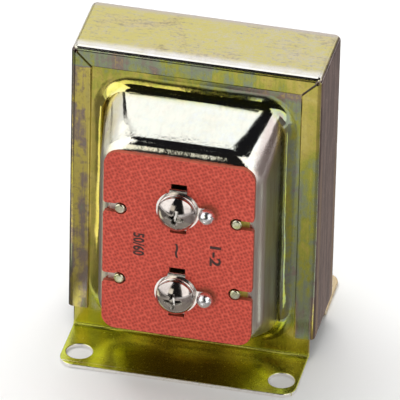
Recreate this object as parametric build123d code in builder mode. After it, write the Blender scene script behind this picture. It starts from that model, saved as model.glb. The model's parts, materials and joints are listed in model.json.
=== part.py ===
import os
from math import asin, degrees, hypot, sqrt

from build123d import *

os.makedirs("parts", exist_ok=True)

# All sizes are in millimetres. Front is -Y, +X is the viewer's right, +Z is up.
# The origin is the centre of the four foot holes, on the mounting plane.

# Laminated core: one lamination unit is half the height of the centre leg
lam_unit = 9.525
stack_depth = 14.8
core_lift = 7.29
core_side_gap = 0.29

# Folded channel over the top and both sides
frame_sheet = 0.7
frame_lip_width = 4.1
frame_lip_bend = 0.3
frame_lip_roll = 0.35
frame_corner_ease = 0.25
frame_lower_edge = 5.4
mitre_gap = 0.45
mitre_relief = 0.5
mitre_to_corner = 0.45

# Drawn covers with feet
cover_sheet = 0.8
cover_edge_gap = 0.06
foot_bend = 0.6
foot_reach = 22.2
foot_corner = 3.0
foot_edge_round = 0.2
foot_hole_radius = 2.6
foot_hole_x = 20.3
foot_hole_y = 17.4

# Raised box drawn into each cover, sizes before its edges are rounded;
# the base sits a little higher than the face, so the upper wall slopes more,
# and its corners are tighter than the corners of the face
box_centre_height = 31.05
box_base_width = 35.7
box_base_height = 53.0
box_base_shift = 0.6
box_face_width = 32.2
box_face_height = 43.4
box_rise = 12.9
box_base_corner = 4.2
box_face_corner = 8.0
box_face_round = 3.3
box_base_round = 3.0

# Tolerance for finding the edges that lie in one face
face_tolerance = 0.01

# Window in the front face behind the terminal board
window_width = 17.0
window_height = 36.0
window_corner = 2.0

# Terminal board, its keyholes and the nibs that stake it
board_width = 29.8
board_height = 40.4
board_sheet = 1.1
board_corner = 2.8
keyhole_x = 11.55
keyhole_pitch = 16.1
keyhole_drop = 0.5
keyhole_diameter = 2.7
keyhole_slot = 2.0
keyhole_mouth_round = 0.55
nib_clearance = 0.3
nib_proud = 0.3
nib_round = 0.4

# Terminal plates
terminal_pitch = 19.2
terminal_drop = 0.35
plate_sheet = 0.6
plate_diameter = 8.6
ear_width = 3.5
ear_reach = 4.6
ear_bend = 0.5
leg_width = 3.1
ear_slot_clearance = 0.05
ear_slot_extra = 1.0
clinch_length = 1.5
neck_diameter = 4.8
neck_length = 1.6
neck_clearance = 0.1
solder_x = 5.85
solder_ear_width = 2.6

# Terminal screws and their washers
screw_diameter = 3.4
screw_length = 5.0
screw_clearance = 0.05
screw_tip_chamfer = 0.4
head_diameter = 7.4
head_rim = 0.8
head_dome = 1.8
recess_span = 3.9
recess_width = 1.15
recess_depth = 1.3
recess_taper = 18.0
washer_diameter = 7.8
washer_sheet = 0.7
washer_edge_round = 0.25

# Solder beads and the leads that end in them
solder_diameter = 3.2
solder_sink = 0.9
lead_diameter = 0.9
lead_hole_clearance = 0.1
lead_in_solder = 0.8
lead_rises = {"upper": 3.765, "lower": 6.565}
lead_bend = 1.1
lead_standoff = 2.2

# Split bobbin and its two coils
bobbin_wall = 0.8
bobbin_corner = 1.0
bobbin_leg_gap = 0.15
bobbin_end_gap = 0.1
flange_sheet = 0.8
flange_overhang = 7.8
flange_window_gap = 0.35
flange_corner = 7.0
coil_below_flange = 1.0
wrap_sheet = 0.4

# Faces and levels that follow from the sizes above
core_width = 5 * lam_unit
core_height = 6 * lam_unit
core_top = core_lift + core_height
core_middle = core_lift + core_height / 2
core_face = stack_depth / 2
cover_face = core_face + cover_sheet
frame_inside_width = core_width + 2 * core_side_gap
frame_width = frame_inside_width + 2 * frame_sheet
frame_depth = 2 * (cover_face + frame_sheet)
frame_corner_inside = frame_lip_bend + frame_corner_ease
core_head_gap = max(0.0, frame_corner_inside - core_side_gap)
frame_inside_top = core_top + core_head_gap
frame_top = frame_inside_top + frame_sheet
cover_width = frame_inside_width - 2 * (frame_lip_bend + cover_edge_gap)
cover_top = frame_inside_top - frame_lip_bend - cover_edge_gap
board_back = cover_face + box_rise
board_front = board_back + board_sheet
plate_front = board_front + plate_sheet
screw_seat = plate_front + washer_sheet
base_centre_height = box_centre_height + box_base_shift
box_above_bend = base_centre_height - box_base_height / 2 - cover_sheet - foot_bend
base_round = min(box_base_round, box_above_bend)
keyhole_height = box_centre_height - keyhole_drop
terminal_middle = box_centre_height - terminal_drop
terminal_heights = {
    "upper": terminal_middle + terminal_pitch / 2,
    "lower": terminal_middle - terminal_pitch / 2,
}
head_ball = (head_diameter**2 / 4 + head_dome**2) / (2 * head_dome)
recess_turns = {"upper": -9.0, "lower": 4.0}
screw_hole_diameter = screw_diameter + 2 * screw_clearance
lead_hole_diameter = lead_diameter + 2 * lead_hole_clearance
bobbin_length = 3 * lam_unit - 2 * bobbin_end_gap
coil_front = core_face + flange_overhang - coil_below_flange
wrap_front = coil_front + wrap_sheet


def front_plane(distance, height=0.0, x=0.0):
    """A plane that faces forward, the given distance in front of the middle."""
    return Plane(origin=(x, -distance, height), x_dir=(1, 0, 0), z_dir=(0, -1, 0))


def turning_plane(distance, height, x=0.0):
    """A level plane whose second axis points forward, for turned profiles."""
    return Plane(origin=(x, -distance, height), x_dir=(1, 0, 0), z_dir=(0, 0, -1))


def save(builder, node):
    """Labels a finished piece and writes its file."""
    builder.part.label = node
    export_step(builder.part, f"parts/{node}.step")


# The core: the E is the left yoke with three legs, the I closes it on the right
with BuildPart() as e_lamination_stack:
    with BuildSketch(front_plane(0, core_middle)):
        with Locations((-lam_unit / 2, 0)):
            Rectangle(4 * lam_unit, core_height)
        with Locations((0, 1.5 * lam_unit), (0, -1.5 * lam_unit)):
            Rectangle(3 * lam_unit, lam_unit, mode=Mode.SUBTRACT)
    extrude(amount=core_face, both=True)
save(e_lamination_stack, "e_lamination_stack")

with BuildPart() as i_lamination_stack:
    with BuildSketch(front_plane(0, core_middle)):
        with Locations((2 * lam_unit, 0)):
            Rectangle(lam_unit, core_height)
    extrude(amount=core_face, both=True)
save(i_lamination_stack, "i_lamination_stack")


# The bobbin: a square tube on the centre leg with an end flange each side and one between the coils
tube_height = 2 * (lam_unit + bobbin_leg_gap + bobbin_wall)
tube_depth = 2 * (core_face + bobbin_leg_gap + bobbin_wall)
flange_height = 2 * (2 * lam_unit - flange_window_gap)
flange_depth = 2 * (core_face + flange_overhang)
section_length = (bobbin_length - 3 * flange_sheet) / 2
flange_starts = (
    -bobbin_length / 2,
    -flange_sheet / 2,
    bobbin_length / 2 - flange_sheet,
)


def side_plane(x):
    """A plane that faces right, at the given place along the coil."""
    return Plane(origin=(x, 0, core_middle), x_dir=(0, 1, 0), z_dir=(1, 0, 0))


with BuildPart() as bobbin:
    with BuildSketch(side_plane(-bobbin_length / 2)):
        RectangleRounded(tube_depth, tube_height, bobbin_corner)
    extrude(amount=bobbin_length)
    for start in flange_starts:
        with BuildSketch(side_plane(start)):
            RectangleRounded(flange_depth, flange_height, flange_corner)
        extrude(amount=flange_sheet)
    with BuildSketch(side_plane(-bobbin_length / 2)):
        Rectangle(tube_depth - 2 * bobbin_wall, tube_height - 2 * bobbin_wall)
    extrude(amount=bobbin_length, mode=Mode.SUBTRACT)
save(bobbin, "bobbin")

# The coils: a ring of wire in each half of the bobbin, with tape round it
coil_height = flange_height - 2 * coil_below_flange
coil_depth = flange_depth - 2 * coil_below_flange
coil_corner = flange_corner - coil_below_flange
coil_starts = {
    "primary": -bobbin_length / 2 + flange_sheet,
    "secondary": flange_sheet / 2,
}
for side, start in coil_starts.items():
    with BuildPart() as winding:
        with BuildSketch(side_plane(start)):
            RectangleRounded(coil_depth, coil_height, coil_corner)
            RectangleRounded(tube_depth, tube_height, bobbin_corner, mode=Mode.SUBTRACT)
        extrude(amount=section_length)
    save(winding, f"{side}_winding")

    with BuildPart() as wrap:
        with BuildSketch(side_plane(start)):
            RectangleRounded(
                coil_depth + 2 * wrap_sheet, coil_height + 2 * wrap_sheet, coil_corner + wrap_sheet
            )
            RectangleRounded(coil_depth, coil_height, coil_corner, mode=Mode.SUBTRACT)
        extrude(amount=section_length)
    save(wrap, f"{side}_wrap")


# The channel: a rounded block, hollowed to the sheet, opened to its lips and slit at the mitres
with BuildPart() as frame_cavity:
    with BuildSketch(front_plane(0)) as cavity_outline:
        with Locations((0, frame_inside_top / 2)):
            Rectangle(frame_inside_width, frame_inside_top)
        fillet(cavity_outline.vertices().group_by(Axis.Y)[-1], frame_corner_inside)
    extrude(amount=cover_face, both=True)
    cavity_rims = frame_cavity.faces().sort_by(Axis.Y)
    fillet(
        (cavity_rims[0].edges() + cavity_rims[-1].edges()).filter_by(
            lambda edge: edge.center().Z > frame_lip_bend
        ),
        frame_lip_bend,
    )

frame_height = frame_top - frame_lower_edge
with BuildPart() as channel_frame:
    with BuildSketch(front_plane(0)) as frame_outline:
        with Locations((0, frame_lower_edge + frame_height / 2)):
            Rectangle(frame_width, frame_height)
        fillet(
            frame_outline.vertices().group_by(Axis.Y)[-1], frame_corner_inside + frame_sheet
        )
    extrude(amount=frame_depth / 2, both=True)
    frame_rims = channel_frame.faces().sort_by(Axis.Y)
    fillet(
        (frame_rims[0].edges() + frame_rims[-1].edges()).filter_by(
            lambda edge: edge.center().Z > frame_lower_edge + frame_sheet
        ),
        frame_lip_bend + frame_sheet,
    )
    add(frame_cavity.part, mode=Mode.SUBTRACT)
    opening_width = frame_width - 2 * frame_lip_width
    opening_top = frame_top - frame_lip_width
    with BuildSketch(front_plane(0)):
        with Locations((0, opening_top / 2)):
            Rectangle(opening_width, opening_top)
    extrude(amount=frame_depth, both=True, mode=Mode.SUBTRACT)
    lip_faces = channel_frame.faces().filter_by(Axis.Y).group_by(Axis.Y)
    lip_edges = (lip_faces[0] + lip_faces[-1]).edges()
    fillet(
        lip_edges.filter_by(lambda edge: abs(edge.center().X) < opening_width / 2 + face_tolerance)
        .filter_by(lambda edge: edge.center().Z < opening_top + face_tolerance)
        .filter_by(lambda edge: edge.center().Z > frame_lower_edge + face_tolerance),
        frame_lip_roll,
    )
    mitre_length = 2 * (frame_lip_width - mitre_to_corner) * 2**0.5
    for lip_back in (cover_face, -cover_face - frame_sheet):
        for hand in (1, -1):
            with BuildSketch(front_plane(lip_back)):
                with Locations((hand * opening_width / 2, opening_top)):
                    Rectangle(mitre_length, mitre_gap, rotation=hand * 45)
                relief_x = frame_width / 2 - mitre_to_corner - mitre_relief
                relief_z = frame_top - mitre_to_corner - mitre_relief
                with Locations((hand * relief_x, relief_z)):
                    Circle(mitre_relief)
            extrude(amount=frame_sheet, mode=Mode.SUBTRACT)
save(channel_frame, "channel_frame")

# The raised box: its outside, and the space inside it one sheet thinner
side_wall = cover_sheet * hypot(box_rise, (box_base_width - box_face_width) / 2) / box_rise
end_wall = cover_sheet * hypot(box_rise, (box_base_height - box_face_height) / 2) / box_rise


def box_section(rise):
    """Width, height, corner and middle of the raised box at a height above the cover plate."""
    share = rise / box_rise
    width = box_base_width + (box_face_width - box_base_width) * share
    height = box_base_height + (box_face_height - box_base_height) * share
    corner = box_base_corner + (box_face_corner - box_base_corner) * share
    middle = base_centre_height + (box_centre_height - base_centre_height) * share
    return width, height, corner, middle


with BuildPart() as box_form:
    for rise in (0.0, box_rise):
        width, height, corner, middle = box_section(rise)
        with BuildSketch(front_plane(cover_face + rise, middle)):
            RectangleRounded(width, height, corner)
    loft()
    fillet(box_form.faces().sort_by(Axis.Y)[0].edges(), box_face_round)

with BuildPart() as box_space:
    for rise in (-2 * cover_sheet, box_rise - cover_sheet):
        width, height, corner, middle = box_section(rise)
        with BuildSketch(front_plane(cover_face + rise, middle)):
            RectangleRounded(width - 2 * side_wall, height - 2 * end_wall, corner - cover_sheet)
    loft()
    fillet(box_space.faces().sort_by(Axis.Y)[0].edges(), box_face_round - cover_sheet)


def round_box_edge(builder, distance, radius):
    """Rounds the outline of the raised box where it meets one face of the cover plate."""
    outline = (
        builder.edges()
        .filter_by_position(Axis.Y, -distance - face_tolerance, -distance + face_tolerance)
        .filter_by_position(Axis.X, -box_base_width / 2, box_base_width / 2)
        .filter_by_position(
            Axis.Z,
            base_centre_height - box_base_height / 2 - cover_sheet,
            base_centre_height + box_base_height / 2 + cover_sheet,
        )
    )
    fillet(outline, radius)


# A cover: plate and foot from one bent strip, with the box drawn out of the plate
with BuildPart() as cover_blank:
    with BuildSketch(Plane.YZ) as strip:
        with BuildLine():
            Polyline(
                (-core_face, cover_top),
                (-core_face, 0),
                (-foot_reach, 0),
                (-foot_reach, cover_sheet),
                (-cover_face, cover_sheet),
                (-cover_face, cover_top),
                close=True,
            )
        make_face()
        outer_bend = strip.vertices().sort_by_distance((-core_face, 0))[0]
        fillet(outer_bend, foot_bend + cover_sheet)
        inner_bend = strip.vertices().sort_by_distance((-cover_face, cover_sheet))[0]
        fillet(inner_bend, foot_bend)
    extrude(amount=cover_width / 2, both=True)
    fillet(cover_blank.edges().filter_by(Axis.Z).group_by(Axis.Y)[0], foot_corner)
    with BuildSketch(Plane.XY):
        with Locations((foot_hole_x, -foot_hole_y), (-foot_hole_x, -foot_hole_y)):
            Circle(foot_hole_radius)
    extrude(amount=cover_sheet, mode=Mode.SUBTRACT)
    foot_top = cover_blank.faces().filter_by(Axis.Z).group_by(Axis.Z)[1]
    fillet(
        foot_top.edges().filter_by(
            lambda edge: edge.center().Y < -cover_face - foot_bend - face_tolerance
        ),
        foot_edge_round,
    )
    add(box_form.part)
    round_box_edge(cover_blank, cover_face, base_round)
    add(box_space.part, mode=Mode.SUBTRACT)
    round_box_edge(cover_blank, core_face, base_round + cover_sheet)

with BuildPart() as rear_cover:
    mirror(cover_blank.part, about=Plane.XZ)
save(rear_cover, "rear_cover")

keyhole_places = [
    (hand * keyhole_x, row * keyhole_pitch / 2) for hand in (-1, 1) for row in (-1, 1)
]
with BuildPart() as front_cover:
    add(cover_blank.part)
    with BuildSketch(front_plane(board_back - cover_sheet, box_centre_height)):
        RectangleRounded(window_width, window_height, window_corner)
    extrude(amount=cover_sheet, mode=Mode.SUBTRACT)
    with BuildSketch(front_plane(board_back, keyhole_height)):
        with Locations(*keyhole_places):
            Circle(keyhole_diameter / 2 - nib_clearance)
    extrude(amount=board_sheet + nib_proud)
    nib_ends = front_cover.faces().filter_by(Axis.Y).group_by(Axis.Y)[0]
    fillet(nib_ends.edges(), nib_round)
save(front_cover, "front_cover")

# The terminal board lies on the front face of the box
slot_in = ear_reach - plate_sheet - ear_slot_clearance
slot_out = ear_reach + ear_slot_extra
with BuildPart() as terminal_board:
    with BuildSketch(front_plane(board_back, box_centre_height)) as board_outline:
        RectangleRounded(board_width, board_height, board_corner)
        mouth = board_width / 2 - keyhole_x
        for x, z in keyhole_places:
            hand = 1 if x > 0 else -1
            with Locations((x + hand * mouth / 2, z - keyhole_drop)):
                Rectangle(mouth, keyhole_slot, mode=Mode.SUBTRACT)
        at_sides = board_outline.vertices().filter_by_position(
            Axis.Y, -keyhole_pitch / 2 - keyhole_drop - keyhole_slot, keyhole_pitch / 2 + keyhole_slot
        )
        mouths = at_sides.group_by(Axis.X)[0] + at_sides.group_by(Axis.X)[-1]
        fillet(mouths, keyhole_mouth_round)
        with Locations(*[(x, z - keyhole_drop) for x, z in keyhole_places]):
            Circle(keyhole_diameter / 2, mode=Mode.SUBTRACT)
        for height in terminal_heights.values():
            level = height - box_centre_height
            with Locations((0, level)):
                Circle(neck_diameter / 2 + neck_clearance, mode=Mode.SUBTRACT)
            with Locations((solder_x, level)):
                Circle(lead_hole_diameter / 2, mode=Mode.SUBTRACT)
            slot_middle = (slot_in + slot_out) / 2
            with Locations((0, level + slot_middle), (0, level - slot_middle)):
                Rectangle(leg_width + 2 * ear_slot_clearance, slot_out - slot_in, mode=Mode.SUBTRACT)
    extrude(amount=board_sheet)
save(terminal_board, "terminal_board")

# Each terminal: plate, washer, screw, solder bead and lead, once at each height
for row, height in terminal_heights.items():
    with BuildPart() as terminal_plate:
        with BuildSketch(front_plane(board_front, height)):
            Circle(plate_diameter / 2)
            Rectangle(ear_width, 2 * ear_reach)
            with Locations((solder_x / 2, 0)):
                Rectangle(solder_x, solder_ear_width)
            with Locations((solder_x, 0)):
                Circle(solder_ear_width / 2)
        extrude(amount=plate_sheet)
        front_edges = terminal_plate.edges().filter_by(Axis.X).filter_by_position(
            Axis.Y, -plate_front - face_tolerance, -plate_front + face_tolerance
        )
        fillet((front_edges.sort_by(Axis.Z)[0], front_edges.sort_by(Axis.Z)[-1]), ear_bend)
        with BuildSketch(front_plane(board_front, height)):
            for hand in (1, -1):
                with Locations((0, hand * (ear_reach - plate_sheet / 2))):
                    Rectangle(leg_width, plate_sheet)
        extrude(amount=-board_sheet - plate_sheet)
        with BuildSketch(front_plane(board_back, height)):
            for hand in (1, -1):
                with Locations((0, hand * (ear_reach - clinch_length / 2))):
                    Rectangle(leg_width, clinch_length)
        extrude(amount=-plate_sheet)
        with BuildSketch(front_plane(board_front, height)):
            Circle(neck_diameter / 2)
        extrude(amount=-neck_length)
        with BuildSketch(front_plane(plate_front, height)):
            Circle(screw_hole_diameter / 2)
            with Locations((solder_x, 0)):
                Circle(lead_hole_diameter / 2)
        extrude(amount=-plate_sheet - neck_length, mode=Mode.SUBTRACT)
    save(terminal_plate, f"terminal_plate_{row}")

    with BuildPart() as screw_washer:
        with BuildSketch(front_plane(plate_front, height)):
            Circle(washer_diameter / 2)
            Circle(screw_hole_diameter / 2, mode=Mode.SUBTRACT)
        extrude(amount=washer_sheet)
        washer_rim = screw_washer.edges().filter_by(GeomType.CIRCLE).group_by(Axis.Y)[0]
        fillet(washer_rim.sort_by(SortBy.RADIUS)[-1], washer_edge_round)
    save(screw_washer, f"screw_washer_{row}")

    rim_angle = degrees(asin(1 - head_dome / head_ball))
    with BuildPart() as terminal_screw:
        with BuildSketch(turning_plane(screw_seat, height)):
            with BuildLine():
                Polyline((0, head_rim + head_dome), (0, 0), (head_diameter / 2, 0))
                Line((head_diameter / 2, 0), (head_diameter / 2, head_rim))
                CenterArc(
                    (0, head_rim + head_dome - head_ball),
                    head_ball,
                    start_angle=rim_angle,
                    arc_size=90 - rim_angle,
                )
            make_face()
        revolve(axis=Axis((0, -screw_seat, height), (0, 1, 0)))
        with BuildSketch(front_plane(screw_seat, height)):
            Circle(screw_diameter / 2)
        extrude(amount=-screw_length)
        chamfer(terminal_screw.edges().sort_by(Axis.Y)[-1], screw_tip_chamfer)
        with BuildSketch(front_plane(screw_seat + head_rim + head_dome, height)):
            for turn in (0, 90):
                Rectangle(recess_span, recess_width, rotation=recess_turns[row] + turn)
        extrude(amount=-recess_depth, taper=recess_taper, mode=Mode.SUBTRACT)
    save(terminal_screw, f"terminal_screw_{row}")

    bead_radius = solder_diameter / 2
    bead_centre = bead_radius - solder_sink
    bead_foot = sqrt(bead_radius**2 - bead_centre**2)
    foot_angle = degrees(asin(bead_centre / bead_radius))
    with BuildPart() as solder_joint:
        with BuildSketch(turning_plane(plate_front, height, solder_x)):
            with BuildLine():
                Polyline((0, bead_centre + bead_radius), (0, 0), (bead_foot, 0))
                CenterArc(
                    (0, bead_centre), bead_radius, start_angle=-foot_angle, arc_size=90 + foot_angle
                )
            make_face()
        revolve(axis=Axis((solder_x, -plate_front, height), (0, 1, 0)))
        with BuildSketch(front_plane(plate_front, height, solder_x)):
            Circle(lead_diameter / 2)
        extrude(amount=lead_in_solder, mode=Mode.SUBTRACT)
    save(solder_joint, f"solder_joint_{row}")

    lead_start = height + lead_rises[row]
    with BuildPart() as secondary_lead:
        with BuildLine() as lead_route:
            FilletPolyline(
                (solder_x, -wrap_front, lead_start),
                (solder_x, -wrap_front - lead_standoff, lead_start),
                (solder_x, -wrap_front - lead_standoff, height),
                (solder_x, -plate_front - lead_in_solder, height),
                radius=lead_bend,
            )
        with BuildSketch(front_plane(wrap_front, lead_start, solder_x)):
            Circle(lead_diameter / 2)
        sweep(path=lead_route.wire())
    save(secondary_lead, f"secondary_lead_{row}")
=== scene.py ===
import json

import bpy
import numpy as np
from mathutils import Matrix, Vector


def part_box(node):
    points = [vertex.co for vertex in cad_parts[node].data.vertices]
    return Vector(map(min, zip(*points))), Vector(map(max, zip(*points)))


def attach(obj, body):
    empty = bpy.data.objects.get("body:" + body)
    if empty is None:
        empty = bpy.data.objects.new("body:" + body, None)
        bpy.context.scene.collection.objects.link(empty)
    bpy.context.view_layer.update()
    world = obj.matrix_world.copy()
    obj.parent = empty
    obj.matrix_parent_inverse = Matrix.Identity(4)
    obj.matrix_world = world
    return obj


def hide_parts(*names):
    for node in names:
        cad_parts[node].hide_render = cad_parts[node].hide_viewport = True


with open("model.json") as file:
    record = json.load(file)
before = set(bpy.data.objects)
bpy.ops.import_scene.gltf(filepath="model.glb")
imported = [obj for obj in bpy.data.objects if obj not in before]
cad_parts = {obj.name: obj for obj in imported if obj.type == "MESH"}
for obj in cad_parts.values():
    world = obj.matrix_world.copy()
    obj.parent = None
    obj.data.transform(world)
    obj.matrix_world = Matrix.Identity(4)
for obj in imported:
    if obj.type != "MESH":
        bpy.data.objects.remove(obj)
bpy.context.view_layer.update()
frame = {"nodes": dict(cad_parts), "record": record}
print("frame loaded:", len(frame["nodes"]), "solids")

mm = 0.001
terminals = ("upper", "lower")


# A socket that can stand in a sum; add() makes every other kind of node
class Wire:
    def __init__(self, tree, socket=None):
        self.tree, self.socket = tree, socket

    def add(self, kind, settings=None, inputs=None, output=0):
        node = self.tree.nodes.new("ShaderNode" + kind)
        for name, value in (settings or {}).items():
            if name == "stops":
                ends = node.color_ramp.elements
                ends[0].position, ends[0].color = value[0]
                ends[-1].position, ends[-1].color = value[-1]
                for place, shade in value[1:-1]:
                    ends.new(place).color = shade
            else:
                setattr(node, name, value)
        for name, value in (inputs or {}).items():
            if isinstance(value, Wire):
                self.tree.links.new(value.socket, node.inputs[name])
            else:
                node.inputs[name].default_value = value
        return Wire(self.tree, node.outputs[output] if len(node.outputs) else None)

    def sum(self, operation, first, second):
        return self.add("Math", {"operation": operation}, {0: first, 1: second})

    def __add__(self, other):
        return self.sum("ADD", self, other)

    def __sub__(self, other):
        return self.sum("SUBTRACT", self, other)

    def __rsub__(self, other):
        return self.sum("SUBTRACT", other, self)

    def __mul__(self, other):
        return self.sum("MULTIPLY", self, other)

    def __truediv__(self, other):
        return self.sum("DIVIDE", self, other)

    def __pow__(self, other):
        return self.sum("POWER", self, other)

    __radd__ = __add__
    __rmul__ = __mul__

    # this value as the factor between two colours
    def tint(self, first, second, way="MIX"):
        kind = {"data_type": "RGBA", "blend_type": way, "clamp_factor": True}
        return self.add("Mix", kind, {0: self, 6: first, 7: second}, 2)

    # this value stretched so that low gives 0 and high gives 1
    def spread(self, low, high, low2=0.0, high2=1.0):
        return self.add("MapRange", {"interpolation_type": "SMOOTHSTEP"},
                        {0: self, 1: low, 2: high, 3: low2, 4: high2})

    def wave(self):
        return self.add("Math", {"operation": "SINE"}, {0: self})

    def size(self):
        return self.add("Math", {"operation": "ABSOLUTE"}, {0: self})

    def noise(self, place, scale, detail=2.0, rough=0.5, swirl=0.0):
        return self.add("TexNoise", None, {"Vector": place, "Scale": scale, "Detail": detail,
                                           "Roughness": rough, "Distortion": swirl})

    def bump(self, strength, depth):
        return self.add("Bump", None, {"Strength": strength, "Distance": depth, "Height": self})


# A material whose paint function gives the values of the surface from the place on the object
def makeFinish(name, paint):
    material = bpy.data.materials.new(name)
    material.use_nodes = True
    material.node_tree.nodes.clear()
    root = Wire(material.node_tree)
    place = root.add("TexCoord", None, None, "Object")
    surface = root.add("BsdfPrincipled", None, paint(root, place))
    root.add("OutputMaterial", None, {"Surface": surface})
    return material


# A place times one number for each axis
def stretch(root, place, sizes):
    return root.add("VectorMath", {"operation": "MULTIPLY"}, {0: place, 1: sizes})


def axisOf(root, place):
    return [root.add("SeparateXYZ", None, {0: place}, n) for n in range(3)]


# Where the middle of a box lies across and up
def middleOf(box):
    low, high = box
    return (low[0] + high[0]) / 2, (low[2] + high[2]) / 2


chromate = {
    "straw": (0.64, 0.565, 0.20, 1),
    "gold": (0.73, 0.63, 0.165, 1),
    "mauve": (0.37, 0.29, 0.27, 1),
    "pale": (0.84, 0.74, 0.26, 1),
    "teal": (0.36, 0.43, 0.31, 1),
    "leaf": (0.50, 0.53, 0.10, 1),
    "tan": (0.66, 0.52, 0.32, 1),
    "highlightWhite": (0.88, 0.85, 0.82, 1),
    "lilac": (0.61, 0.57, 0.49, 1),
    "plum": (0.52, 0.435, 0.415, 1),
    "ash": (0.30, 0.255, 0.25, 1),
    "steel": (0.77, 0.765, 0.755, 1),
    "dusk": (0.56, 0.50, 0.49, 1),
    "dull": (0.22, 0.19, 0.09, 1),
    "lime": (0.66, 0.70, 0.10, 1),
    "umber": (0.46, 0.37, 0.07, 1),
    "film": ((0.20, "straw"), (0.36, "gold"), (0.47, "mauve"), (0.58, "teal"), (0.69, "leaf"),
             (0.82, "gold"), (0.97, "pale")),      # thickness and the colour it gives
    "patch": 75.0,           # spots per metre, for each axis where they are drawn out
    "mottle": 290.0,
    "fleck": 1300.0,
    "streak": (480.0, 620.0, 52.0),
    "lines": (3000.0, 3000.0, 90.0),
    "brush": (430.0, 1700.0, 1700.0),
    "pull": (1500.0, 120.0, 1500.0),
    "waver": 110.0,
    "halfWidth": 24.8 * mm,  # edges of the sheets, from the origin
    "halfDepth": 8.9 * mm,
    "low": 5.4 * mm,
    "top": 65.4 * mm,
    "lipWidth": 4.1 * mm,
    "plateFront": 8.2 * mm,
    "footTop": 0.8 * mm,
    "boxTop": 58.15 * mm,
    "boxHalf": 16.6 * mm,
    "skirt": (9.0 * mm, 5.0 * mm),             # heights between which a mark comes in
    "cornerRise": (44 * mm, 50 * mm),
    "bendRise": (47 * mm, 50 * mm),
    "flatRough": 0.19,
    "bendRough": 0.10,
    "drawnRough": 0.08,
}


# Clouds, mottle, upright streaks, flecks and fine draw lines that every plated sheet shares,
# and their weighted sum, which stirs the thickness of the film
def platedGrain(root, place):
    c = chromate
    cloud = root.noise(place, c["patch"], 4, 0.6, 0.7)
    mottle = root.noise(place, c["mottle"], 3, 0.6, 0.4)
    streak = root.noise(stretch(root, place, c["streak"]), 1.0, 2, 0.5, 0.2)
    fleck = root.noise(place, c["fleck"], 3, 0.65)
    lines = root.noise(stretch(root, place, c["lines"]), 1.0, 2, 0.6)
    cloud, mottle, streak, fleck, lines = (grain - 0.5 for grain in (cloud, mottle, streak, fleck, lines))
    stir = cloud * 0.32 + mottle * 0.36 + streak * 0.36 + lines * 0.12 + fleck * 0.18
    return cloud, mottle, streak, fleck, lines, stir


# Dull specks over a colour
def speckled(shade, fleck):
    return (fleck.spread(0.02, 0.22) * 0.30).tint(shade, chromate["dull"])


# The film's colour in the order that it thickens: straw, gold, mauve, teal, leaf, gold again and pale
def filmShade(root, film, fleck):
    stops = [(step, chromate[name]) for step, name in chromate["film"]]
    return speckled(root.add("ValToRGB", {"stops": stops}, {0: film}), fleck)


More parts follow.
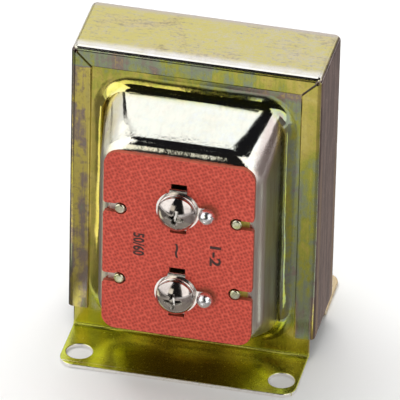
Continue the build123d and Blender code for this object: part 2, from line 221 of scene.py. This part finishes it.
# The channel: gold to mauve down the left lip, teal to pale gold up the right one,
# teal to gold along the top lip, pale straw on the roof and plum on the sides
def paintChannel(root, place):
    c = chromate
    x, y, z = axisOf(root, place)
    cloud, mottle, streak, fleck, lines, stir = platedGrain(root, place)
    rise = (z - c["low"]) / (c["top"] - c["low"])
    rightHand = x.spread(-1.0 * mm, 1.0 * mm)
    # outward runs from 0 at a side lip's inner edge to 1 at its outer edge
    outward = (x.size() - (c["halfWidth"] - c["lipWidth"])) / c["lipWidth"]
    inner, outer = outward.spread(0.34, 0.05), outward.spread(0.60, 0.95)
    waist = rise.spread(0.80, 0.52) * rise.spread(0.16, 0.36)
    leftLip = 0.47 - rise * 0.13 - inner * 0.06 + outer * 0.04
    rightLip = 0.87 - waist * 0.22 - rise.spread(0.36, 0.10) * 0.33 - inner * 0.08 - outer * 0.10
    sideLip = leftLip * (1 - rightHand) + rightLip * rightHand
    topLip = 0.58 + x.spread(-0.2 * c["halfWidth"], c["halfWidth"]) * 0.22
    high = z.spread(c["top"] - c["lipWidth"] - 0.6 * mm, c["top"] - c["lipWidth"] + 0.2 * mm)
    lip = y.size().spread(c["halfDepth"] - 0.5 * mm, c["halfDepth"] - 0.15 * mm)
    roof = z.spread(c["top"] - 0.5 * mm, c["top"] - 0.12 * mm)
    shade = filmShade(root, topLip * high + sideLip * (1 - high) + stir, fleck)
    inset = c["halfDepth"] - y.size()  # the sides: streaky plum with a painted tan highlight band by the bends
    plum = (streak + mottle * 0.6 + lines * 0.5).spread(-0.12, 0.14).tint(c["ash"], c["plum"])
    # painted highlight: a tan band along each bend of the sides, fading out toward the top
    bendHighlight = inset.spread(0.8 * mm, 1.6 * mm) * inset.spread(3.8 * mm, 2.2 * mm) * rise.spread(0.8, 0.4)
    plum = (bendHighlight * (0.9 + streak + mottle)).tint(plum, c["tan"])
    shade = ((1 - lip) * (1 - roof)).tint(shade, plum)
    # the roof: straw and lilac brushed along X, with a painted white highlight along the front by the bend
    # and dusky at the back
    brush = root.noise(stretch(root, place, c["brush"]), 1.0, 3, 0.65, 0.4) - 0.5
    haze = mottle * 0.6 + cloud * 0.5 + fleck * 0.9 + brush * 0.9 + x / c["halfWidth"] * 0.10
    top = (haze.spread(-0.22, 0.44) * 0.9).tint(c["straw"], c["lilac"])
    top = (cloud.spread(-0.05, 0.16) * 0.45).tint(top, c["tan"])
    top = ((brush + fleck + cloud * 1.4 - mottle * 0.4).spread(-0.06, 0.5) * 0.7).tint(top, c["dull"])
    # painted highlight: white along the front of the roof
    front = y.spread(3.6 * mm - c["halfDepth"], 1.6 * mm - c["halfDepth"])
    back = y.spread(c["halfDepth"] - 2.6 * mm, c["halfDepth"] - 0.9 * mm)
    top = (back * 0.8).tint(top, c["dusk"])
    shade = roof.tint(shade, (front * (0.85 + mottle)).tint(top, c["highlightWhite"]))
    bend = y.size().spread(c["halfDepth"] - 1.1 * mm, c["halfDepth"] - 0.8 * mm) * (1 - lip)
    rough = c["flatRough"] + fleck * 0.16 + lines * 0.14 + cloud * 0.08
    rough = rough * (1 - bend) + bend * (c["bendRough"] + fleck * 0.10)
    return {"Base Color": shade, "Metallic": 1.0, "Roughness": rough,
            "Normal": (fleck * 0.6 + lines * 0.4 + mottle * 0.3).bump(0.08, 0.06 * mm)}


# A cover: gold on the left of its plate, teal on the right, mauve at the right under the top lip as painted
# shade, umber painted shade toward the foot, umber and lime on the foot as a painted reflection, and drawn
# almost bare on the raised box
def paintCover(root, place):
    c = chromate
    x, y, z = axisOf(root, place)
    cloud, mottle, streak, fleck, lines, stir = platedGrain(root, place)
    across = x / c["halfWidth"]
    foot = z.spread(c["footTop"] + 1.2 * mm, c["footTop"] + 0.1 * mm)
    above = z.spread(c["boxTop"] + 0.4 * mm, c["boxTop"] + 2.2 * mm)
    below = z.spread(*c["skirt"])
    # painted shade: the film turns mauve under the top lip, most at the right, and the plate is tinted
    # darker umber toward the foot
    film = 0.72 - across * 0.10 - above * (0.09 + across * 0.08) + below * (0.06 + across * 0.12)
    shade = (below * 0.5).tint(filmShade(root, film + stir, fleck), c["umber"])
    # the front foot: umber in the middle and lime at the ends as a painted reflection, lime brightened to
    # the right and white along its rim as painted highlights; the rear one is tan
    ends = x.size().spread(0.25 * c["halfWidth"], 0.65 * c["halfWidth"])
    sole = (ends + cloud * 0.9 + mottle * 0.4).tint(c["umber"], c["lime"])
    sole = (across.spread(0.2, 0.7) * 0.8).tint(sole, c["lime"], "SCREEN")
    sole = z.spread(c["footTop"] - 0.03 * mm, c["footTop"] - 0.12 * mm).tint(sole, c["highlightWhite"])
    shade = foot.tint(shade, y.spread(-1.0 * mm, 1.0 * mm).tint(speckled(sole, fleck), c["tan"]))
    # the raised box, nearly bare
    drawn = y.size().spread(c["plateFront"] + 0.05 * mm, c["plateFront"] + 0.5 * mm) * (1 - foot)
    deep = y.size().spread(c["plateFront"] + 0.6 * mm, c["plateFront"] + 3.2 * mm) * (1 - foot)
    pull = root.noise(stretch(root, place, c["pull"]), 1.0, 2, 0.6)
    bare = (cloud.spread(-0.1, 0.14) * 0.16 + pull.spread(0.4, 0.7) * 0.1).tint(c["steel"], c["dusk"])
    bare = (cloud.spread(0.02, 0.3) * 0.1).tint(bare, c["straw"])
    shade = (deep * 0.84).tint(shade, bare)
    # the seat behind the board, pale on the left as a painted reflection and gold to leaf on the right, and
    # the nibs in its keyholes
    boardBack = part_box("terminal_board")[1][1]
    behind = y.spread(boardBack + 0.12 * mm, boardBack + 0.04 * mm)
    behind = behind * y.spread(boardBack - 0.12 * mm, boardBack - 0.04 * mm)
    seat = across.spread(-0.1, 0.1).tint(c["highlightWhite"], (cloud + 0.5).tint(c["gold"], c["leaf"]))
    shade = behind.tint(shade, seat)
    nib = y.spread(boardBack - 0.1 * mm, boardBack - 0.3 * mm) * (1 - foot)
    shade = (nib * (0.25 + mottle * 2)).tint(shade, c["leaf"])
    # the upper right corner of the box painted plum as shade, and its side walls scuffed and painted darker
    # plum as shade
    cornerShade = x.spread(c["boxHalf"] - 3.0 * mm, c["boxHalf"] - 1.2 * mm) * z.spread(*c["cornerRise"])
    shade = (cornerShade * deep * 0.8).tint(shade, c["plum"])
    leftBend = x.spread(3.6 * mm - c["boxHalf"], 1.6 * mm - c["boxHalf"]) * z.spread(*c["bendRise"])
    shade = (leftBend * deep * (0.4 + mottle)).tint(shade, c["straw"])
    # painted shade: the side walls are tinted darker plum with streaks, and the same mask roughens them as
    # scuffing
    scuffAndShade = x.size().spread(c["boxHalf"] - 3.2 * mm, c["boxHalf"] - 1.8 * mm)
    scuffAndShade = scuffAndShade * deep * z.spread(c["boxTop"], c["boxTop"] - 8 * mm)
    shade = (scuffAndShade * (0.25 + streak * 2 + lines * 2)).tint(shade, c["plum"])
    flat = c["flatRough"] + foot * 0.05 + fleck * 0.16 + lines * 0.14 + cloud * 0.08
    smooth = c["drawnRough"] + behind * 0.4 + nib * 0.12 + scuffAndShade * 0.22
    smooth = smooth + fleck * 0.06 + pull.spread(0.45, 0.8) * 0.05
    sheet = root.noise(place, c["waver"], 0)
    # the face round the board is grained
    grained = y.size().spread(c["plateFront"] + 9.2 * mm, c["plateFront"] + 10.8 * mm) * (1 - behind)
    relief = fleck * (0.6 + grained * 14) + lines * 0.3 + pull * 0.2 + mottle * 0.3 + sheet * 130
    return {"Base Color": shade, "Metallic": 1.0, "Roughness": flat * (1 - drawn) + smooth * drawn,
            "Normal": relief.bump(0.06, 0.06 * mm)}


fibre = {
    "red": (0.63, 0.084, 0.050, 1),
    "deep": (0.36, 0.036, 0.024, 1),
    "pale": (0.76, 0.165, 0.110, 1),
    "edge": (0.30, 0.070, 0.036, 1),
    "fluxAndShadow": (0.20, 0.050, 0.020, 1),
    "dot": 0.62 * mm,
    "slant": np.radians(24),
}


# Vulcanised fibre pressed against cloth: slanting rows of small dents, with painted shade in the dents and
# painted highlights on the ridges, with a brown halo round each solder bead that is partly flux stain and
# partly painted shadow, and a brown sawn edge
def paintFibre(root, place):
    f = fibre
    x, y, z = axisOf(root, place)
    c, s = np.cos(f["slant"]), np.sin(f["slant"])
    flat = root.add("CombineXYZ", None, {0: x * c + z * s, 1: (z * c - x * s) * 0.8})
    dots = root.add("TexVoronoi", {"voronoi_dimensions": "2D", "feature": "F1"},
                    {"Vector": flat, "Scale": 1 / f["dot"], "Randomness": 0.55})
    cloud = root.noise(place, 160, 3)
    speck = root.noise(place, 2600, 2, 0.6)
    dent = dots.spread(0.10, 0.56)
    # painted shade in the dents, and painted highlights in pale on the ridges
    shade = ((1 - dent) * speck.spread(0.2, 0.7, 0.5, 1.0)).tint(f["red"], f["deep"])
    shade = (dots.spread(0.50, 0.80) * speck.spread(0.3, 0.7) * 0.8).tint(shade, f["pale"])
    shade = (cloud.spread(0.5, 0.8) * 0.25).tint(shade, f["deep"])
    for row in terminals:
        beadX, beadZ = middleOf(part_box("solder_joint_" + row))
        right, tall = x - beadX, z - beadZ
        away = (right * right + tall * tall) ** 0.5 + (speck - 0.5) * 0.5 * mm
        # partly flux stain and partly painted shadow round the bead
        shade = (away.spread(2.7 * mm, 1.5 * mm) * 0.7).tint(shade, f["fluxAndShadow"])
    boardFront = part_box("terminal_board")[0][1]
    sawn = y.spread(boardFront + 0.06 * mm, boardFront + 0.2 * mm)
    shade = (sawn * 0.8).tint(shade, f["edge"])
    relief = (dent * 0.9 + speck * 0.4).bump(0.6, 0.10 * mm)
    return {"Base Color": shade, "Roughness": speck.spread(0.3, 0.7, 0.50, 0.66), "Specular IOR Level": 0.3,
            "Normal": relief}


nickel = {
    "bright": (0.58, 0.535, 0.51, 1),
    "dull": (0.43, 0.385, 0.37, 1),
    "sheet": (0.84, 0.80, 0.77, 1),
    "struck": (0.95, 0.93, 0.90, 1),
    "pit": (0.06, 0.05, 0.045, 1),
    "scratch": (600.0, 900.0, 9000.0),
    "headRadius": 3.7 * mm,
    "headRim": 0.8 * mm,
    "headDome": 1.8 * mm,
}


# How far the seat of a screw head stands in front of the core's middle
def screwSeat(row):
    return -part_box("screw_washer_" + row)[0][1]


# Nickel, with the heads painted darker than the washers and plates as painted light; the walls of the cross
# recess near white, partly burnish and partly a painted highlight, and dark deep down as painted shade with
# grime, inside the ball of the dome, whose radius is half the sum of the head's radius squared over the
# dome's height and that height
def paintNickel(root, place):
    cloud = root.noise(place, 500, 3, 0.6)
    grimeAndShade = root.noise(place, 800, 1)
    scratch = root.noise(stretch(root, place, nickel["scratch"]), 1.0, 2, 0.6)
    head = cloud.spread(0.35, 0.7).tint(nickel["bright"], nickel["dull"])
    # painted light: the washers and plates are painted brighter than the heads
    shade = (cloud.spread(0.4, 0.7) * 0.4).tint(nickel["sheet"], nickel["dull"])
    rough = cloud.spread(0.3, 0.7, 0.09, 0.17) + scratch.spread(0.5, 0.8) * 0.07
    x, y, z = axisOf(root, place)
    dome = nickel["headDome"]
    ball = (nickel["headRadius"] ** 2 + dome ** 2) / (2 * dome)
    for row in terminals:
        screwX, screwZ = middleOf(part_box("terminal_screw_" + row))
        rim = screwSeat(row) + nickel["headRim"]
        right, ahead, tall = x - screwX, y + (rim + dome - ball), z - screwZ
        level = right * right + tall * tall
        onHead = (level ** 0.5).spread(nickel["headRadius"] + 0.06 * mm, nickel["headRadius"])
        shade = onHead.tint(shade, head)
        away = (level + ahead * ahead) ** 0.5
        # the recess walls painted near white as a highlight, and dark deep down as painted shade mixed with
        # grime
        struck = away.spread(ball - 0.04 * mm, ball - 0.12 * mm) * y.spread(-rim, -rim - 0.1 * mm)
        pit = away.spread(ball - 0.35 * mm, ball - 0.8 * mm) * grimeAndShade.spread(0.46, 0.54)
        shade = struck.tint(shade, pit.tint(nickel["struck"], nickel["pit"]))
        rough = rough + struck * 0.16
    return {"Base Color": shade, "Metallic": 1.0, "Roughness": rough,
            "Normal": (cloud + scratch * 0.2).bump(0.05, 0.05 * mm)}


solder = {"bright": (0.93, 0.93, 0.96, 1), "dull": (0.72, 0.72, 0.77, 1)}


def paintSolder(root, place):
    cloud = root.noise(place, 900, 3, 0.6, 0.6)
    shade = cloud.spread(0.35, 0.7).tint(solder["bright"], solder["dull"])
    return {"Base Color": shade, "Metallic": 1.0, "Roughness": cloud.spread(0.3, 0.7, 0.16, 0.34),
            "Normal": cloud.bump(0.25, 0.08 * mm)}


core = {
    "steel": (0.16, 0.16, 0.17, 1),
    "seam": (0.03, 0.028, 0.025, 1),
    "rust": (0.13, 0.075, 0.04, 1),
    "sheet": 0.5 * mm,
}


# A dark seam at every sheet along Y, the sine of the depth in sheets
def paintCore(root, place):
    x, y, z = axisOf(root, place)
    sheets = (y * (2 * np.pi / core["sheet"])).wave()
    cloud = root.noise(place, 300, 4, 0.6)
    shade = sheets.spread(-1.0, -0.4).tint(core["seam"], core["steel"])
    shade = (cloud.spread(0.5, 0.8) * 0.4).tint(shade, core["rust"])
    return {"Base Color": shade, "Metallic": 0.8, "Roughness": cloud.spread(0.3, 0.7, 0.38, 0.6),
            "Normal": (sheets * 0.5 + cloud * 0.3).bump(0.5, 0.08 * mm)}


nylon = {"cream": (0.74, 0.70, 0.60, 1), "buff": (0.62, 0.57, 0.46, 1)}


def paintNylon(root, place):
    cloud = root.noise(place, 500, 3)
    shade = cloud.spread(0.3, 0.75).tint(nylon["cream"], nylon["buff"])
    return {"Base Color": shade, "Roughness": cloud.spread(0.3, 0.7, 0.38, 0.5),
            "Normal": cloud.bump(0.1, 0.05 * mm)}


wire = {"copper": (0.55, 0.20, 0.08, 1), "dark": (0.18, 0.05, 0.02, 1), "pitch": 0.5 * mm}


# Painted shade in the groove between the turns along X, the sine of the distance in turns
def paintWire(root, place):
    x, y, z = axisOf(root, place)
    turns = (x * (2 * np.pi / wire["pitch"])).wave()
    cloud = root.noise(place, 700, 3)
    shade = turns.spread(-1, 0.2).tint(wire["dark"], wire["copper"])
    return {"Base Color": shade, "Metallic": 0.9, "Roughness": cloud.spread(0.3, 0.7, 0.25, 0.4),
            "Normal": (turns + cloud * 0.2).bump(0.6, 0.1 * mm)}


tape = {"amber": (0.66, 0.50, 0.10, 1), "brown": (0.50, 0.34, 0.06, 1), "crease": (900.0, 120.0, 120.0)}


def paintTape(root, place):
    cloud = root.noise(place, 260, 4, 0.6)
    crease = root.noise(stretch(root, place, tape["crease"]), 1.0, 3, 0.6)
    shade = cloud.spread(0.3, 0.75).tint(tape["amber"], tape["brown"])
    return {"Base Color": shade, "Roughness": crease.spread(0.3, 0.7, 0.22, 0.4),
            "Normal": crease.bump(0.2, 0.1 * mm)}


inkShade = {"full": (0.030, 0.013, 0.011, 1), "thin": (0.10, 0.024, 0.018, 1)}


def paintInk(root, place):
    cloud = root.noise(place, 2400, 3, 0.65)
    shade = cloud.spread(0.4, 0.7).tint(inkShade["full"], inkShade["thin"])
    return {"Base Color": shade, "Roughness": cloud.spread(0.3, 0.7, 0.5, 0.7)}


finishes = {slot: makeFinish(slot, paint) for slot, paint in (
    ("chromate_steel", paintChannel), ("chromate_cover", paintCover), ("red_fibre", paintFibre),
    ("nickel_steel", paintNickel), ("solder", paintSolder), ("core_steel", paintCore),
    ("nylon", paintNylon), ("magnet_wire", paintWire), ("coil_tape", paintTape))}
ink = makeFinish("board_ink", paintInk)

for part in frame["record"]["subparts"]:
    solid = frame["nodes"][part["node"]]
    solid.data.materials.clear()
    cover = part["node"].endswith("_cover")
    solid.data.materials.append(finishes["chromate_cover" if cover else part["material_slot"]])
print("finishes made:", len(finishes) + 1)


# A smooth mesh in one finish; one without a body belongs to the studio
def placeMesh(name, spots, faces, finish, body=None):
    mesh = bpy.data.meshes.new(name)
    mesh.from_pydata(np.asarray(spots).tolist(), [], np.asarray(faces).tolist())
    mesh.materials.append(finish)
    mesh.polygons.foreach_set("use_smooth", np.ones(len(mesh.polygons), bool))
    mesh.update()
    piece = bpy.data.objects.new(name, mesh)
    bpy.context.scene.collection.objects.link(piece)
    if body:
        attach(piece, body)
    return piece


# Quads of a grid of rows by columns; a closed grid joins its last column to its first
def gridFaces(rows, columns, closed=False):
    across = columns if closed else columns - 1
    row, column = np.meshgrid(np.arange(rows - 1), np.arange(across), indexing="ij")
    nextColumn = (column + 1) % columns
    corners = np.stack([row * columns + column, row * columns + nextColumn,
                        (row + 1) * columns + nextColumn, (row + 1) * columns + column], axis=-1)
    return corners.reshape(-1, 4)


thread = {
    "crest": 1.7 * mm,
    "root": 1.33 * mm,
    "pitch": 25.4 / 32 * mm,
    "length": 5.0 * mm,
    "chamfer": 0.4 * mm,
    "runOut": 0.5 * mm,
    "rowsPerTurn": 14,
    "steep": 1.3,            # of the flanks
    "rootFlat": 0.15,
    "merge": 0.001,          # millimetres within which two corners are one
    "near": 0.003 * mm,
}


# A screw with its thread: the head as it is, and in place of the plain shank a grid of rows along the screw
# whose radius rises and falls with the row's depth in turns plus its angle in turns
def cutThread(row):
    source = frame["nodes"]["terminal_screw_" + row].data
    spots, corners = np.empty(len(source.vertices) * 3), np.empty(len(source.loops), int)
    shine = np.empty(len(source.loops) * 3)
    source.vertices.foreach_get("co", spots)
    source.loops.foreach_get("vertex_index", corners)
    source.corner_normals.foreach_get("vector", shine)
    steps = np.round(spots.reshape(-1, 3) / (thread["merge"] * mm))
    spots, merged = np.unique(steps, axis=0, return_inverse=True)
    spots, triangles = spots * thread["merge"] * mm, merged.reshape(-1)[corners].reshape(-1, 3)
    middle = middleOf(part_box("terminal_screw_" + row))
    seat, near = screwSeat(row), thread["near"]
    across, tall = spots[:, 0] - middle[0], spots[:, 2] - middle[1]
    radius, along = np.hypot(across, tall), spots[:, 1] + seat
    onShank = (radius < thread["crest"] + near) & (along > -near)
    kept = ~onShank[triangles].all(axis=1)
    ring = np.flatnonzero(onShank & (radius > thread["crest"] - near) & (along < near))
    ring = ring[np.argsort(np.arctan2(tall[ring], across[ring]))]
    angle = np.arctan2(tall[ring], across[ring])
    rows = int(thread["length"] / thread["pitch"] * thread["rowsPerTurn"])
    depth = np.linspace(0, thread["length"], rows + 1)[1:, None]
    ridge = np.abs((depth / thread["pitch"] + angle / (2 * np.pi)) % 1 - 0.5) * 2
    cut = 1 - np.clip(ridge * thread["steep"] - thread["rootFlat"], 0, 1)
    cut = cut * np.clip(depth / thread["runOut"], 0, 1)
    reach = thread["crest"] - (thread["crest"] - thread["root"]) * cut
    reach = np.minimum(reach, thread["crest"] - np.maximum(depth - thread["length"] + thread["chamfer"], 0))
    coil = np.stack([middle[0] + reach * np.cos(angle), depth - seat + 0 * angle,
                     middle[1] + reach * np.sin(angle)], axis=-1).reshape(-1, 3)
    tip = [middle[0], thread["length"] - seat, middle[1]]
    first = len(spots)
    order = np.concatenate([ring, first + np.arange(len(coil))])
    sides = order[gridFaces(rows + 1, len(ring), closed=True)][:, ::-1]
    last = order[-len(ring):]
    end = np.stack([np.roll(last, -1), last, np.full(len(ring), first + len(coil))], axis=1)
    faces = np.vstack([triangles[kept], sides[:, :3], sides[:, [0, 2, 3]], end])
    used, renumbered = np.unique(faces, return_inverse=True)
    piece = placeMesh("threadedScrew" + row.title(), np.vstack([spots, coil, tip])[used],
                      renumbered.reshape(-1, 3), finishes["nickel_steel"], row + "_screw")
    # the head keeps its normals, and a normal of zeros is worked out from the faces
    shine = shine.reshape(-1, 3, 3)[kept].reshape(-1, 3)
    corners = len(piece.data.loops)
    piece.data.normals_split_custom_set(np.vstack([shine, np.zeros((corners - len(shine), 3))]).tolist())
    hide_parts("terminal_screw_" + row)


for row in terminals:
    cutThread(row)
print("threads cut:", len(terminals))


marks = {
    "words": [               # name, word, place across and up and length in millimetres
        ("markLeft", "50/60", -7.7, 31.0, 5.2),
        ("markMiddle", "~", -0.2, 30.7, 3.2),
        ("markRight", "1-2", 7.5, 30.6, 4.6),
    ],
    "tall": 3.0 * mm,
    "thick": 0.008 * mm,
    "bold": 0.09 * mm,
    "curveSteps": 3,
}


# Printed figures read downwards: the letter's width runs along -Z, its height along +X
def printMark(name, word, acrossMm, heightMm, lengthMm):
    curve = bpy.data.curves.new(name, "FONT")
    curve.body, curve.size, curve.extrude = word, marks["tall"], marks["thick"]
    curve.align_x, curve.align_y = "CENTER", "CENTER"
    curve.offset, curve.resolution_u = marks["bold"], marks["curveSteps"]
    holder = bpy.data.objects.new(name + "Curve", curve)
    bpy.context.scene.collection.objects.link(holder)
    bpy.context.view_layer.update()
    mesh = bpy.data.meshes.new_from_object(holder.evaluated_get(bpy.context.evaluated_depsgraph_get()))
    bpy.data.objects.remove(holder)
    spots = np.empty(len(mesh.vertices) * 3, np.float32)
    mesh.vertices.foreach_get("co", spots)
    spots = spots.reshape(-1, 3)
    spots[:, :2] -= (spots[:, :2].max(0) + spots[:, :2].min(0)) / 2
    spots[:, 0] *= lengthMm * mm / max(np.ptp(spots[:, 0]), 1e-9)
    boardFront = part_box("terminal_board")[0][1]
    placed = np.stack([acrossMm * mm + spots[:, 1], boardFront - marks["thick"] - spots[:, 2],
                       heightMm * mm - spots[:, 0]], axis=1)
    mesh.vertices.foreach_set("co", placed.astype(np.float32).ravel())
    mesh.materials.clear()
    mesh.materials.append(ink)
    mesh.update()
    piece = bpy.data.objects.new(name, mesh)
    bpy.context.scene.collection.objects.link(piece)
    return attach(piece, "case")


for markRow in marks["words"]:
    printMark(*markRow)
print("marks printed:", len(marks["words"]))


darkShade = (0.010, 0.010, 0.012)      # brightness of more than one card
duskShade = (0.05, 0.045, 0.045)
dimShade = (0.16, 0.15, 0.14)
heelShade = (0.22, 0.19, 0.18)
whiteShade = (1.6, 1.6, 1.6)
studio = {
    "floor": (0.90, 0.90, 0.89, 1),
    "floorHalf": 3000,       # millimetres
    "floorHeight": -0.05,
    "ambient": 0.55,
    "softbox": {"toward": (-0.18, 0.37, 0.91), "far": 0.42, "wide": 0.34, "deep": 0.24, "watts": 1.28},
    "fill": {"toward": (0.1, -0.85, 0.5), "far": 1.2, "wide": 0.9, "deep": 0.9, "watts": 4.0},
    "skyRadius": 0.55,
    "skyGrid": (49, 25),     # columns and rows of a sky card
    "skyCards": [            # name, azimuths from the front toward +X, elevations, brightness
        ("zenithGap", (-180, 180), (79, 90), darkShade),
        ("leftGap", (-33, -11.2), (36, 84), darkShade),
        ("leftRoof", (-95, -33), (64, 84), darkShade),
        ("lensGap", (-11.2, 33), (0.5, 84), (0.012, 0.011, 0.011)),
        ("rightGap", (33, 66), (60, 84), darkShade),
        ("sideGap", (66, 95), (54, 84), darkShade),
        ("sideRoof", (95, 172), (42, 84), darkShade),
        ("leftStrip", (-33, -11.2), (14, 36), (1.25, 1.20, 1.02)),
        ("rightStrip", (33, 66), (3, 60), (1.65, 1.61, 1.56)),
        ("leftSkirt", (-33, -11.2), (0.5, 14), duskShade),
        ("leftPanel", (-95, -33), (3, 64), (1.60, 1.58, 1.54)),
        ("rightPanel", (66, 95), (27, 54), whiteShade),
        ("rightBack", (95, 150), (30, 42), whiteShade),
        ("rightFoot", (66, 95), (0.5, 27), heelShade),
        ("rightHeel", (95, 150), (0.5, 30), heelShade),
        ("leftLine", (-165, -95), (14, 20), (0.03, 0.03, 0.03)),
    ],
    "highCards": [           # name, near and far corners and height in millimetres, brightness
        ("softCard", (-210, 30), (55, 420), 420, (1.36, 1.39, 1.40)),
        ("softEdge", (-310, 30), (-210, 420), 420, (0.02, 0.02, 0.02)),
        ("leftGleam", (-120, -36), (-44, -18), 0.6, (1.25, 1.2, 0.9)),
        ("rightGleam", (34, -20), (120, -13), 0.6, (1.0, 1.05, 0.95)),
        ("faceCard", (-20, -90), (0, -44), 0.6, (1.15, 1.12, 1.08)),
    ],
    "floorCards": [          # name, near and far corners in millimetres, brightness at each
        ("nearCard", (-60, -150), (30, -24), (0.74, 0.71, 0.65), (0.36, 0.33, 0.29)),
        ("rightCard", (30, -150), (250, -24), (0.40, 0.36, 0.34), (0.28, 0.25, 0.24)),
        ("sideCard", (25.5, -24), (250, 250), (0.25, 0.205, 0.185), (0.22, 0.18, 0.175)),
        ("leftCard", (-300, -150), (-60, -28), dimShade, dimShade),
        ("backLeftCard", (-300, -28), (-26, 100), dimShade, dimShade),
        ("farCard", (-300, -360), (40, -150), duskShade, (0.70, 0.67, 0.62)),
        ("horizonCard", (-500, -800), (40, -360), duskShade, duskShade),
    ],
    "cardHeight": 0.3,
}


# One matt colour
def paintPlain(shade):
    return lambda root, place: {"Base Color": shade, "Roughness": 0.9}


# A glowing card that goes from one brightness to another between two places along Y
def paintGlow(nearY, nearShade, farY, farShade):
    glow = {"Base Color": (0, 0, 0, 1), "Specular IOR Level": 0.0, "Emission Strength": 1.0}

    def paint(root, place):
        share = axisOf(root, place)[1].spread(nearY, farY)
        return {**glow, "Emission Color": share.tint((*nearShade, 1), (*farShade, 1))}
    return paint


# A card of one brightness
def paintEven(shade):
    return paintGlow(-1.0, shade, 1.0, shade)


# A patch of a sphere: azimuth runs from the front toward +X, elevation up from the floor
def spherePatch(radius, azimuths, elevations):
    columns, rows = studio["skyGrid"]
    turn, rise = np.linspace(*azimuths, columns), np.linspace(*elevations, rows)
    turn, rise = np.meshgrid(np.radians(turn), np.radians(rise))
    spots = np.stack([np.sin(turn) * np.cos(rise), -np.cos(turn) * np.cos(rise), np.sin(rise)], axis=-1)
    return radius * spots.reshape(-1, 3), gridFaces(*turn.shape)


# A level patch between two corners in millimetres
def levelPatch(low, high, height):
    (x0, y0), (x1, y1) = low, high
    spots = [(x0, y0, height), (x1, y0, height), (x1, y1, height), (x0, y1, height)]
    return np.array(spots) * mm, [(0, 1, 2, 3)]


# A card is seen in reflections alone
def setCard(name, shape, paint):
    card = placeMesh(name, *shape, makeFinish(name, paint))
    card.visible_camera = card.visible_diffuse = card.visible_shadow = False
    card.visible_transmission = card.visible_volume_scatter = False


half = studio["floorHalf"]
placeMesh("floor", *levelPatch((-half, -half), (half, half), studio["floorHeight"]),
                   makeFinish("floor", paintPlain(studio["floor"])))
for name, azimuths, elevations, shade in studio["skyCards"]:
    setCard(name, spherePatch(studio["skyRadius"], azimuths, elevations), paintEven(shade))
for name, low, high, height, shade in studio["highCards"]:
    setCard(name, levelPatch(low, high, height), paintEven(shade))
for name, low, high, nearShade, farShade in studio["floorCards"]:
    setCard(name, levelPatch(low, high, studio["cardHeight"]),
            paintGlow(low[1] * mm, nearShade, high[1] * mm, farShade))


# A lamp that faces the origin and is seen neither by the camera nor in reflections
def hangLamp(name):
    spec = studio[name]
    data = bpy.data.lights.new(name, "AREA")
    data.shape, data.size, data.size_y = "RECTANGLE", spec["wide"], spec["deep"]
    data.energy = spec["watts"]
    lamp = bpy.data.objects.new(name, data)
    toward = Vector(spec["toward"]).normalized()
    turn = toward.to_track_quat("Z", "Y").to_matrix().to_4x4()
    lamp.matrix_world = Matrix.Translation(toward * spec["far"]) @ turn
    lamp.visible_camera = lamp.visible_glossy = False
    bpy.context.scene.collection.objects.link(lamp)


hangLamp("softbox")
hangLamp("fill")

# The world is white to the camera and in reflections, and softer as a light
world = bpy.data.worlds.new("studio")
world.use_nodes = True
world.node_tree.nodes.clear()
sky = Wire(world.node_tree)
rays = ("Is Camera Ray", "Is Glossy Ray", "Is Transmission Ray")
seen = [sky.add("LightPath", None, None, ray) for ray in rays]
shown = (seen[0] + seen[1] + seen[2]).spread(0.0, 1.0, studio["ambient"], 1.0)
backdrop = sky.add("Background", None, {"Color": (1, 1, 1, 1), "Strength": shown})
sky.add("OutputWorld", None, {"Surface": backdrop})
bpy.context.scene.world = world
bpy.context.scene.view_settings.view_transform = "Standard"

view = {
    "aim": (-0.408 * mm, -0.786 * mm, 28.945 * mm),
    "back": (0.17636, -0.82098, 0.54300),
    "right": (0.97770, 0.21002, 0.0),
    "up": (-0.11404, 0.53089, 0.83971),
    "roll": 1.365,
    "far": 1504.7 * mm,
    "lens": 692.5,           # millimetres, like the film's width
    "filmWidth": 36.0,
    "reach": 20.0,
}
lens = bpy.data.cameras.new("camera")
lens.lens, lens.sensor_width, lens.clip_end = view["lens"], view["filmWidth"], view["reach"]
camera = bpy.data.objects.new("camera", lens)
bpy.context.scene.collection.objects.link(camera)
roll = np.radians(view["roll"])
right, up, back = (np.array(view[name]) for name in ("right", "up", "back"))
spot = np.array(view["aim"]) + back * view["far"]
across = np.cos(roll) * right + np.sin(roll) * up
upward = np.cos(roll) * up - np.sin(roll) * right
turned = np.eye(4)
turned[:3] = np.stack([across, upward, back, spot], axis=1)
camera.matrix_world = Matrix(turned.tolist())
bpy.context.scene.camera = camera
print("studio set")
